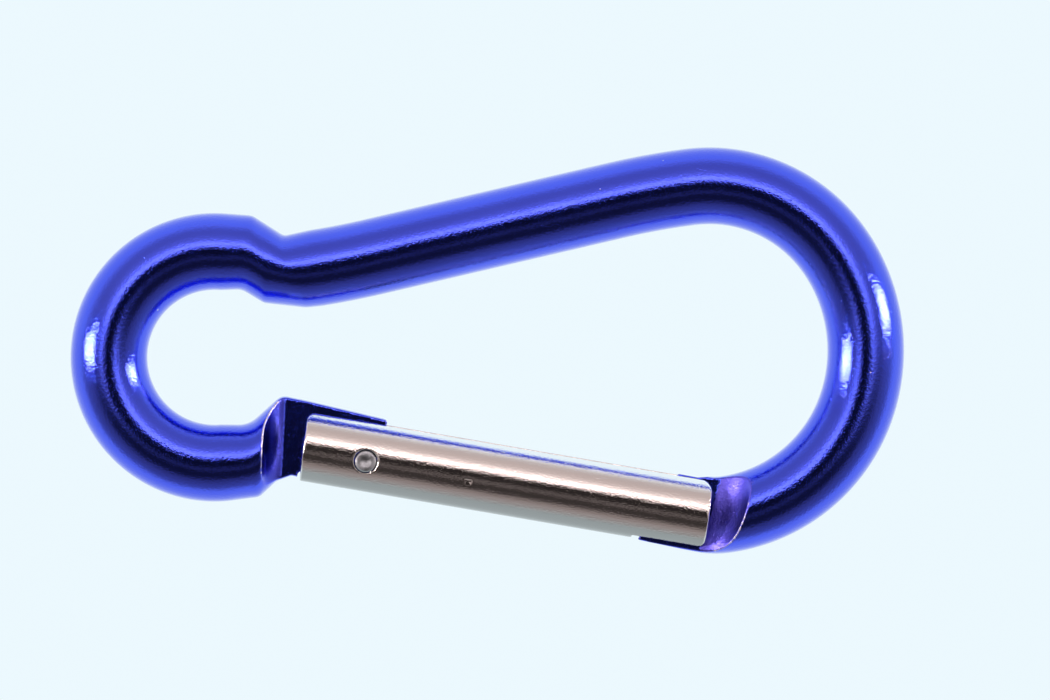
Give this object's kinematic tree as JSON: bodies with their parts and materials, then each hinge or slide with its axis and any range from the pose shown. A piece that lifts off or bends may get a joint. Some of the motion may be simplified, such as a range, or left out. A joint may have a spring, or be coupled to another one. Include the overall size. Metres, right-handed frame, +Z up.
{
  "type": "snap hook carabiner",
  "caption": "Pear-shaped snap hook bent from round aluminium rod, with a small eye, a wide basket and a sprung sheet steel gate that swings inwards.",
  "frame": {"origin": "on the surface it lies on, under the middle of its outline", "axes": "+X from the small eye to the wide end, +Y away from the gate, +Z up through its thickness"},
  "size_m": [0.08, 0.039, 0.0074],
  "materials": {
    "blue_anodised": "blue anodised, satin, with fine tumbling grain",
    "nickel_plate": "warm nickel plate, semi-bright",
    "rivet_steel": "staked plain steel",
    "plunger_steel": "turned plain steel",
    "spring_steel": "drawn spring wire"
  },
  "bodies": {
    "frame": {"frame": "blue_anodised", "pivot_rivet": "rivet_steel"},
    "gate": {"gate_sleeve": "nickel_plate", "return_spring": "spring_steel"},
    "plunger": {"plunger": "plunger_steel"}
  },
  "joints": [
    {"name": "gate_pivot", "type": "hinge", "parent": "frame", "child": "gate", "pos_m": [-0.01163, -0.01058, 0.0037], "axis": [0, 0, 1], "range_deg": [0, 25], "stiffness_Nm_per_rad": 0.12, "springref_deg": -28.65},
    {"name": "plunger_slide", "type": "slide", "parent": "gate", "child": "plunger", "axis": [0.9857, -0.1685, 0], "range_m": [0, 0.0008], "deforming": ["return_spring"]}
  ],
  "couplings": [
    {"joint": "plunger_slide", "follows": "gate_pivot", "m_per_rad": 0.00175}
  ]
}
